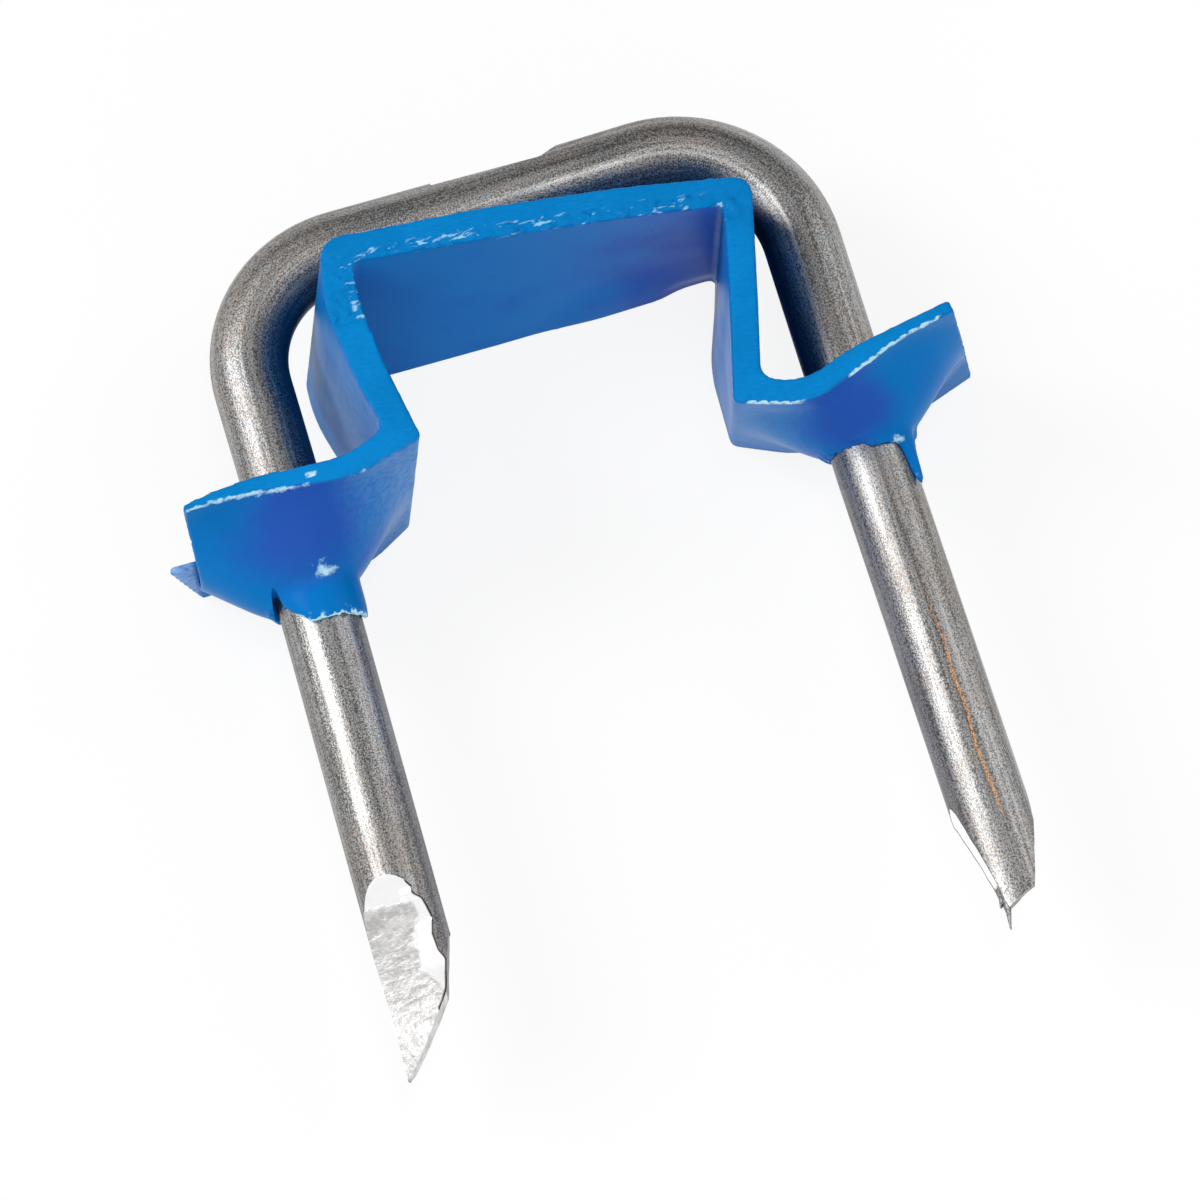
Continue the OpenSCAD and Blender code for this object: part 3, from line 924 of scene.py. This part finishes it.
def spun_collar(name, leg_x, profile):
    """A collar around a leg: a profile of radius and height, spun about the leg"""
    points = [crown_place(leg_x + r, y, MID_Z) for r, y in profile]
    collar = draw_chain(name, points)
    bpy.ops.mesh.select_all(action="SELECT")
    axis = crown_place(leg_x, 0, MID_Z)
    bpy.ops.mesh.spin(steps=96, angle=2 * math.pi, center=axis, axis=(0, 1, 0), use_auto_merge=True)
    leave_edit()
    tidy_normals(collar)
    return collar


# Where each flange is drawn down around a leg: side, place beyond the leg, place of the flange,
# drop and reach, all in millimetres
FUNNELS = (
    (-1, 0.45, -7.9, 2.6, 4.4),
    (1, 0.4, -8.75, 1.8, 4.0),
)

# Waves of the strip's rear edge: place, size of the spot that is pulled, rise, reach
REAR_WAVES = (
    ((3.2, -2.75), 0.7, -0.13, 2.4),
    ((5.2, -2.55), 0.5, 0.12, 1.0),
    ((-10.3, -8.2), 0.6, 0.13, 0.9),
)

# Profiles of the lips, as radius and place below the crown, and the pulls on their rims: from and
# to which angle about the leg, whether inside or outside of that, step, reach, falloff
LEFT_LIP = ((0, -9.3), (1.3, -9.3), (1.4, -9.7), (1.39, -10.1), (1.36, -10.45), (0, -10.45))
LEFT_PULLS = (
    (8, 104, True, (0, -0.85, 0.03), 1.1, "SMOOTH"),
    (150, 180, True, (0, 0.6, 0), 0.5, "SHARP"),
)
RIGHT_LIP = ((0, -9.5), (1.3, -9.5), (1.42, -9.9), (1.4, -10.2), (1.35, -10.45), (0, -10.45))
RIGHT_PULLS = (
    (40, 90, True, (0, -0.3, 0), 0.9, "SMOOTH"),
    (26, 36, True, (0, -1.5, 0), 0.45, "SHARP"),
    (-60, 125, False, (0, 0.35, 0), 0.8, "SMOOTH"),
)
RIM_Y = -10.35

# How torn the front edges of the flanges are, at places across
TORN_RUN = (
    (-11.5, 0.3), (-11.3, 1.0), (-8.0, 1.0), (-7.5, 0.5), (-7.0, 0.3), (-6.2, 0.75), (-4.8, 0.7),
    (-4.6, 0.0), (4.7, 0.4), (5.0, 1.1), (6.5, 1.0), (6.8, 0.4), (7.7, 0.5), (8.1, 1.15),
    (10.9, 1.0), (11.3, 0.3),
)

# Middle of the channel's top wall at places across, above which its sawn front isn't torn, nor
# given painted glints
TOP_X = (-5.5, -0.8, 3.4, 6.9)
TOP_TORN = (-1.7, -2.05, -2.57, -3.15)
TOP_GLINTS = (-1.7, -2.05, -2.6, -3.2)


def pull(obj, test, step, reach, falloff="SMOOTH"):
    """Draw some vertices along a step, with the ones around them following, in millimetres"""
    edit(obj)
    pick(obj, "VERT", test)
    bpy.ops.transform.translate(
        value=[part * MM for part in step], use_proportional_edit=True,
        proportional_edit_falloff=falloff, proportional_size=reach * MM,
    )
    leave_edit()


def on_rim(leg_x, place, start, end):
    """Whether a place is on a collar's wall, between two angles about the leg from +X to +Z"""
    across = place.x / MM - leg_x
    up = (place.z - MID_Z) / MM
    angle = math.degrees(math.atan2(up, across))
    return math.hypot(across, up) > 1 and start < angle < end


def torn_lip(name, leg_x, profile, pulls):
    """The collar that a leg drew out of its flange, with its rim pulled up and down"""
    lip = spun_collar(name, leg_x, profile)
    rim_y = crown_place(0, RIM_Y, 0).y
    for start, end, inside, step, reach, falloff in pulls:
        pull(
            lip, lambda v: v.co.y < rim_y and on_rim(leg_x, v.co, start, end) == inside,
            step, reach, falloff,
        )
    return lip


def draw_flange(strip, leg_x, flange_y, drop, reach):
    """Draw the flange down around a leg, as the wire did when it pierced it"""
    clear_selection()
    ends = []
    for height in (flange_y, flange_y - drop):
        bpy.ops.object.empty_add(location=crown_place(leg_x, height, MID_Z))
        ends.append(bpy.context.object)
    apply_modifier(
        strip, "WARP", object_from=ends[0], object_to=ends[1], falloff_type="SMOOTH",
        falloff_radius=reach * MM, strength=1.0,
    )
    for end in ends:
        bpy.data.objects.remove(end)


def leg_bore(wire, saddle, side):
    """The round of the leg that goes through a lip"""
    bore_y, bore_length = -9.5, 9 * MM
    return primitive(
        bpy.ops.mesh.primitive_cylinder_add, "leg_bore", vertices=96,
        radius=wire.diameter / 2 + saddle.grip, depth=bore_length,
        location=crown_place(side * wire.leg_pitch / 2 / MM, bore_y, MID_Z),
        rotation=(math.pi / 2, 0, 0),
    )


def left_notch():
    """The slot torn through the left lip, seen from the front"""
    width, height, depth = 0.32, 1.4, 1.6 * MM
    return primitive(
        bpy.ops.mesh.primitive_cylinder_add, "left_notch", (width, height, 1), vertices=24,
        radius=0.5 * MM, depth=depth, location=crown_place(-9.42, -10.68, MID_Z + 0.6 * MM),
    )


def torn_tail():
    """The triangular tongue torn out of the left end, widest near the middle of the strip"""
    width, thickness, depth = 1.14, 0.2, 3.0
    rear_rise, taper, corner = 0.07 * MM, 0.78 * MM, 0.2 * MM
    middle = crown_place(-11.55, -7.83, MID_Z - 2.5 * MM)
    tail = primitive(
        bpy.ops.mesh.primitive_cube_add, "torn_tail", (width, thickness, depth), size=MM,
        location=middle,
    )
    edit(tail)
    pick(tail, "VERT", lambda v: v.co.z < middle.z)
    bpy.ops.transform.translate(value=(0, rear_rise, 0))
    pick(tail, "VERT", lambda v: v.co.z < middle.z and v.co.x < middle.x)
    bpy.ops.transform.translate(value=(taper, 0, 0))
    pick(tail, "EDGE", lambda e: all(v.co.z > middle.z and v.co.x < middle.x for v in e.verts))
    bpy.ops.mesh.bevel(offset=corner, segments=5, affect="EDGES")
    leave_edit()
    return tail


def group_by(obj, name, weights):
    """Store weights in a vertex group, in steps"""
    steps = 16
    group = obj.vertex_groups.new(name=name)
    levels = np.rint(np.clip(weights, 0, 1) * steps).astype(int)
    for level in range(1, steps + 1):
        group.add(np.flatnonzero(levels == level).tolist(), level / steps, "REPLACE")


def leg_distance(place, leg):
    """Distance of places from the nearer leg's middle line, in millimetres"""
    up = (place[:, 2] - MID_Z) / MM
    left = np.hypot(place[:, 0] / MM + leg, up)
    right = np.hypot(place[:, 0] / MM - leg, up)
    return np.minimum(left, right)


def ramp(values, low, high):
    """Linear ramp from 0 at low to 1 at high"""
    return np.clip((values - low) / (high - low), 0, 1)


def in_crown_frame(place):
    """Places in millimetres from the middle of the crown, with height above the wire's plane"""
    return (place - np.array(crown_place(0, 0, MID_Z))) / MM


def most(*values):
    """The greatest of several values at each place"""
    return np.maximum.reduce(values)


def mark_surfaces(strip, leg):
    """Store how far each vertex lies on sawn, burred, worn and torn plastic, and where painted
    shade, painted highlights and painted sheen go
    """
    place, normal = places_of(strip)
    x, y, z = in_crown_frame(place).T
    facing_x, facing_y, facing_z = normal.T
    half = SADDLE_DEPTH / MM / 2
    front = half - z
    reach = leg_distance(place, leg)

    def spot(spot_x, spot_y, wide, high):
        """1 in the middle of an oval, 0 on its edge"""
        return 1 - np.hypot((x - spot_x) / wide, (y - spot_y) / high)

    cut = ramp(np.abs(facing_z), 0.6, 0.9) * (half - np.abs(z) < 0.25) * (reach > 2.6)
    edge = np.clip(1 - np.abs(facing_z - 0.6) / 0.35, 0, 1) * (front < 0.22)
    flange = ramp(np.abs(x), 4.5, 5.0) * (y < -6.5)
    torn_under = ramp(-facing_y, 0.1, 0.5) * flange * np.interp(x, *zip(*TORN_RUN))
    band = ramp(-front, -0.42, -0.08) * torn_under
    # Painted highlight along the top edge of the channel's sawn front
    crown_edge_highlight = edge * ramp(facing_y, 0.2, 0.5) * (y > -3.6)
    tail = ramp(-x, 11.3, 11.5)
    # Painted highlights: glints on the lip rims and two pale spots on the lips
    rim = ramp(-facing_y, 0.3, 0.7) * (reach < 1.36) * (y < -10.9) * (z > 0.1) * (x < 0)
    glints = 0.4 * ramp(-y, 10.75, 11.0) * (reach < 1.75) * (z > 0.1)
    glints = np.where(x < 0, glints, glints * (x > leg + 0.4))
    highlight_spots = most(spot(-7.83, -9.97, 0.85, 0.6), spot(9.1, -10.7, 0.5, 0.38))
    highlight_spots = 0.75 * np.clip(highlight_spots, 0, 1) * (z > 0.3) * (y < -9)
    flake = np.clip(1.2 * spot(-7.56, -7.96, 0.3, 0.2), 0, 0.7) * (front < 0.2)
    burr_and_highlight = most(
        0.8 * edge * torn_under, 0.66 * band, 0.42 * crown_edge_highlight, 0.42 * tail, rim, glints, highlight_spots,
        flake,
    )
    # Painted shade: violet blue on the skin around the lips
    funnel_shade = 1.3 * most(spot(-8.1, -8.9, 2.5, 2.0), spot(7.8, -9.9, 2.0, 1.0))
    funnel_shade = np.clip(funnel_shade, 0, 1) * (facing_y < 0)
    # Painted shade inside the channel's top wall, growing towards the right
    inside = ramp(-facing_y, 0.4, 0.8) * (y > -4.2) * ramp(x, 0.5, 6.5)
    under = ramp(-facing_y, 0.3, 0.8)
    # Wear with painted sheen: paler skin under the mouths and on the left wall
    right_wear_sheen = 0.3 * under * ramp(-np.abs(x - 5.7), -1.3, -0.5) * (y < -7.4)
    left_wear_sheen = under * ramp(x, -7.2, -5.0) * (x < -4) * (y < -7.0)
    web_wear_sheen = 0.5 * ramp(-facing_x, 0.4, 0.8) * ramp(-y, 3.6, 5.2)
    web_wear_sheen *= (x > -7) * (x < -4)
    torn = (facing_z > 0.3) * (front < 0.35) * (y > -3.9) * (np.abs(x - 0.6) < 5.6)
    torn = torn * (y < np.interp(x, TOP_X, TOP_GLINTS))
    store(strip, "cut_face", cut)
    store(strip, "burr_and_highlight", burr_and_highlight)
    store(strip, "violet_painted_shade", most(funnel_shade, inside))
    store(strip, "wear_and_sheen", most(right_wear_sheen, left_wear_sheen, web_wear_sheen, 3.0 * tail))
    store(strip, "torn_face", torn)


def tear_edges(strip, leg):
    """Roughen the rims of the lips, the front edges and the sawn front of the channel's top"""
    place, normal = places_of(strip)
    x, y, z = in_crown_frame(place).T
    _, facing_y, facing_z = normal.T
    front = SADDLE_DEPTH / MM / 2 - z
    rim = ramp(-facing_y, 0.45, 0.85) * (leg_distance(place, leg) < 1.45) * (y < -10.1)
    edge = np.clip(1 - np.abs(facing_z - 0.55) / 0.45, 0, 1) * (front < 0.25)
    torn = ramp(facing_z, 0.5, 0.9) * (front < 0.2) * (y > -3.9)
    torn = torn * (y < np.interp(x, TOP_X, TOP_TORN))
    rough = cloud_pattern("torn_plastic", 0.28 * MM, 2)
    rough.noise_type = "HARD_NOISE"
    tears = (("rim", rim, "Y", 0.3), ("edge", edge, "NORMAL", 0.09), ("torn", torn, "Z", 0.3))
    for name, weights, direction, strength in tears:
        group_by(strip, name, weights)
        roughen(strip, rough, strength * MM, direction, 0.4, name)


class STAPLE_OT_saddle(Operator):
    """Fold the plastic strip, draw the pierced lips out of it and tear its edges"""

    bl_idname = "staple.saddle"
    bl_label = "Plastic saddle"

    def execute(self, context):
        wire = context.scene.staple_wire
        saddle = context.scene.staple_saddle
        leg = wire.leg_pitch / 2 / MM
        strip = folded_strip(saddle)
        refine(strip, STRIP_FACE)
        for side, beyond, flange_y, drop, reach in FUNNELS:
            draw_flange(strip, side * (leg + beyond), flange_y, drop, reach)
        for (x, y), size, rise, reach in REAR_WAVES:
            spot = crown_place(x, y, REAR_Z)
            pull(strip, lambda v: near(v.co, spot, size * MM), (0, rise, 0), reach)
        cut_with(strip, torn_tail(), "UNION")
        make_active(strip)
        bpy.ops.object.duplicate()
        smooth_form = bpy.context.object

        left_lip = torn_lip("left_lip", -leg, LEFT_LIP, LEFT_PULLS)
        right_lip = torn_lip("right_lip", leg, RIGHT_LIP, RIGHT_PULLS)
        nub = crown_place(9.8, -10.2, MID_Z - 0.6 * MM)
        pull(right_lip, lambda v: near(v.co, nub, 0.25 * MM), (0.3, 0, -0.1), 0.35)
        make_active(strip)
        left_lip.select_set(True)
        right_lip.select_set(True)
        bpy.ops.object.join()
        apply_modifier(strip, "REMESH", mode="VOXEL", voxel_size=saddle.grain)
        reach = leg_distance(places_of(strip)[0], leg)
        group_by(strip, "lip", ramp(-reach, -2.4, -1.7))
        group_by(strip, "plain", ramp(reach, 1.6, 1.9))
        apply_modifier(strip, "SMOOTH", factor=0.5, iterations=4)
        apply_modifier(strip, "SMOOTH", factor=0.5, iterations=8, vertex_group="lip")
        apply_modifier(
            strip, "SHRINKWRAP", target=smooth_form, wrap_method="NEAREST_SURFACEPOINT",
            vertex_group="plain",
        )
        bpy.data.objects.remove(smooth_form)
        tear_edges(strip, leg)
        for side in (-1, 1):
            cut_with(strip, leg_bore(wire, saddle, side))
        cut_with(strip, left_notch())
        drop_fins(strip)
        mark_surfaces(strip, leg)
        strip.vertex_groups.clear()
        strip.data.materials.clear()
        strip.data.materials.append(blue_plastic(context.scene.staple_finish))
        smooth_below(strip, SADDLE_CREASE)
        strip.name = "plastic_saddle"
        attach(strip, "root")
        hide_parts("insulating_saddle")
        return {"FINISHED"}


# Stage


# Softboxes: name, place and size in metres, power in watts
LAMPS = (
    ("left_softbox", (-0.225, 0.115, 0.25), (0.14, 0.2), 0.8),
    ("right_softbox", (0.3, 0.05, 0.2), (0.12, 0.25), 0.28),
    ("front_softbox", (0.0, -0.3, 0.12), (0.3, 0.1), 0.36),
    ("top_softbox", (0.02, -0.03, 0.3), (0.05, 0.03), 0.13),
)
FLOOR_GLOW = 0.87
WORLD_GREY = (0.5, 0.5, 0.5, 1)
WORLD_STRENGTH = 0.68
SENSOR = 36


def floor_finish(stage):
    """A pale floor that shows white and keeps a soft shadow"""
    sheet = NodeSheet("pale_floor")
    path = sheet.add("ShaderNodeLightPath")
    seen = sheet.math("MAXIMUM", path.outputs["Is Camera Ray"], path.outputs["Is Glossy Ray"])
    seen = sheet.math("MAXIMUM", seen, path.outputs["Is Transmission Ray"])
    lit = sheet.add("ShaderNodeBsdfDiffuse", {"Color": stage.floor})
    glow = sheet.add("ShaderNodeEmission", {"Color": WHITE, "Strength": 1.0})
    share = sheet.times(seen, FLOOR_GLOW)
    mixed = sheet.add("ShaderNodeMixShader", {0: share, 1: lit.outputs[0], 2: glow.outputs[0]})
    return sheet.finish(mixed.outputs[0])


def softbox(name, place, size, power, aim):
    """A rectangular softbox that faces a point"""
    clear_selection()
    bpy.ops.object.light_add(type="AREA", location=place)
    lamp = bpy.context.object
    lamp.name = name
    lamp.data.shape = "RECTANGLE"
    lamp.data.size, lamp.data.size_y = size
    lamp.data.energy = power
    towards = (aim - Vector(place)).normalized()
    lamp.rotation_euler = towards.to_track_quat("-Z", "Y").to_euler()


class STAPLE_OT_stage(Operator):
    """Lay the floor, hang the lights and set up the camera"""

    bl_idname = "staple.stage"
    bl_label = "Floor, lights and camera"

    def execute(self, context):
        scene = context.scene
        stage = scene.staple_stage
        floor = primitive(bpy.ops.mesh.primitive_plane_add, "pale_floor", size=4)
        floor.data.materials.append(floor_finish(stage))

        crown_y = TOP_Y - scene.staple_wire.diameter / 2
        aim = Vector((stage.aim_x, crown_y - stage.aim_drop, MID_Z))
        for lamp in LAMPS:
            softbox(*lamp, aim)

        world = bpy.data.worlds.new("studio")
        scene.world = world
        world.use_nodes = True
        back = world.node_tree.nodes["Background"]
        back.inputs["Color"].default_value = WORLD_GREY
        back.inputs["Strength"].default_value = WORLD_STRENGTH

        clear_selection()
        bpy.ops.object.camera_add()
        camera = bpy.context.object
        camera.name = "photo_camera"
        az, el, roll = stage.azimuth, stage.elevation, stage.roll
        behind = Vector((math.cos(el) * math.sin(az), -math.cos(el) * math.cos(az), math.sin(el)))
        level = Vector((math.cos(az), math.sin(az), 0))
        upright = behind.cross(level)
        right = level * math.cos(roll) - upright * math.sin(roll)
        up = upright * math.cos(roll) + level * math.sin(roll)
        spin = Matrix((right, up, behind)).transposed()
        camera.matrix_world = Matrix.Translation(aim + behind * stage.distance) @ spin.to_4x4()
        camera.data.sensor_width = SENSOR
        camera.data.lens = SENSOR * stage.distance / stage.view_width
        camera.data.clip_start = 0.01
        camera.data.clip_end = 10
        scene.camera = camera
        scene.view_settings.view_transform = "Standard"
        return {"FINISHED"}


OPERATORS = (STAPLE_OT_wire, STAPLE_OT_saddle, STAPLE_OT_stage)


class STAPLE_PT_panel(Panel):
    """Lists the pieces of the staple and their sizes"""

    bl_idname = "STAPLE_PT_panel"
    bl_label = "Cable staple"
    bl_space_type = "VIEW_3D"
    bl_region_type = "UI"
    bl_category = "Staple"

    def draw(self, context):
        layout = self.layout
        for operator in OPERATORS:
            layout.operator(operator.bl_idname)
        for group, name in SETTINGS:
            box = layout.box()
            box.label(text=group.__doc__)
            holder = getattr(context.scene, name)
            for key in group.__annotations__:
                box.prop(holder, key)


CLASSES = (*[group for group, _ in SETTINGS], *OPERATORS, STAPLE_PT_panel)


def register():
    """Register the classes and hang the settings on the scene"""
    for cls in CLASSES:
        bpy.utils.register_class(cls)
    for group, name in SETTINGS:
        setattr(bpy.types.Scene, name, PointerProperty(type=group))


def unregister():
    """Take the settings and classes off again"""
    for _, name in SETTINGS:
        delattr(bpy.types.Scene, name)
    for cls in reversed(CLASSES):
        bpy.utils.unregister_class(cls)


def main():
    """Make every piece in order"""
    register()
    bpy.ops.staple.stage()
    bpy.ops.staple.wire()
    bpy.ops.staple.saddle()


if __name__ == "__main__":
    main()
